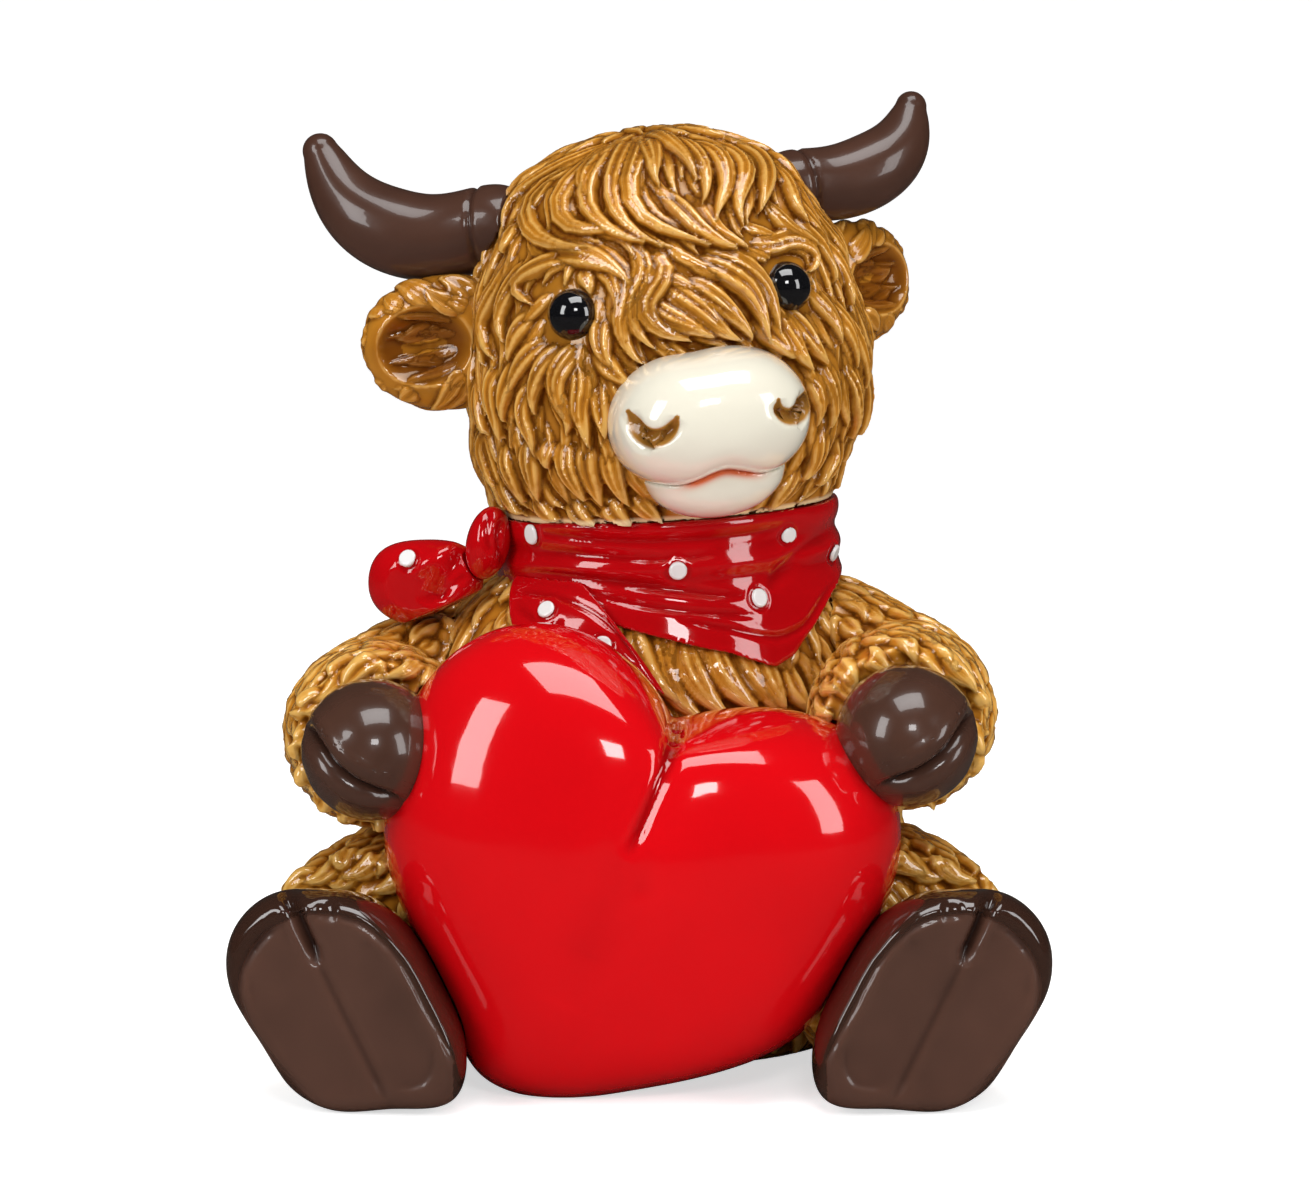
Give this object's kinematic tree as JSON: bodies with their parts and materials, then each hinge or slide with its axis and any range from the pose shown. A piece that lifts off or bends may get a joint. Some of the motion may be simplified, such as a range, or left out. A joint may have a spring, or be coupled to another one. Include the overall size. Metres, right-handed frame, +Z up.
{
  "type": "cookie jar",
  "caption": "Glazed ceramic cookie jar shaped as a sitting long-haired cow hugging a heart; the horned head lifts off as the lid.",
  "frame": {"origin": "centre of the jar body's flat base, on the surface that the jar stands on", "axes": "+Z up, +X towards the cow's own left, -Y towards the front"},
  "size_m": [0.2322, 0.1958, 0.282],
  "materials": {
    "amber_glaze": "gloss glaze over modelled hair, brown in the grooves",
    "brown_glaze": "gloss dark brown glaze",
    "cream_glaze": "gloss cream glaze",
    "black_glaze": "high gloss black glaze",
    "red_glaze": "high gloss red glaze",
    "white_enamel": "gloss white raised enamel",
    "seal": "soft satin, slightly clear"
  },
  "bodies": {
    "jar": {"heart": "red_glaze", "jar_shell": "amber_glaze", "left_arm": "amber_glaze", "left_front_hoof": "brown_glaze", "left_leg": "amber_glaze", "left_rear_hoof": "brown_glaze", "neckerchief": "red_glaze", "neckerchief_back_tail": "red_glaze", "neckerchief_dots": "white_enamel", "neckerchief_front_tail": "red_glaze", "neckerchief_knot": "red_glaze", "right_arm": "amber_glaze", "right_front_hoof": "brown_glaze", "right_leg": "amber_glaze", "right_rear_hoof": "brown_glaze", "tail": "amber_glaze"},
    "lid": {"head_shell": "amber_glaze", "lid_seal": "seal", "muzzle": "cream_glaze", "chin": "cream_glaze", "left_horn": "brown_glaze", "left_ear": "amber_glaze", "left_eye": "black_glaze", "right_horn": "brown_glaze", "right_ear": "amber_glaze", "right_eye": "black_glaze"}
  },
  "joints": [
    {"name": "lid_lift", "type": "slide", "parent": "jar", "child": "lid", "axis": [-0.0523, 0, 0.9986], "range_m": [0, 0.15]}
  ]
}
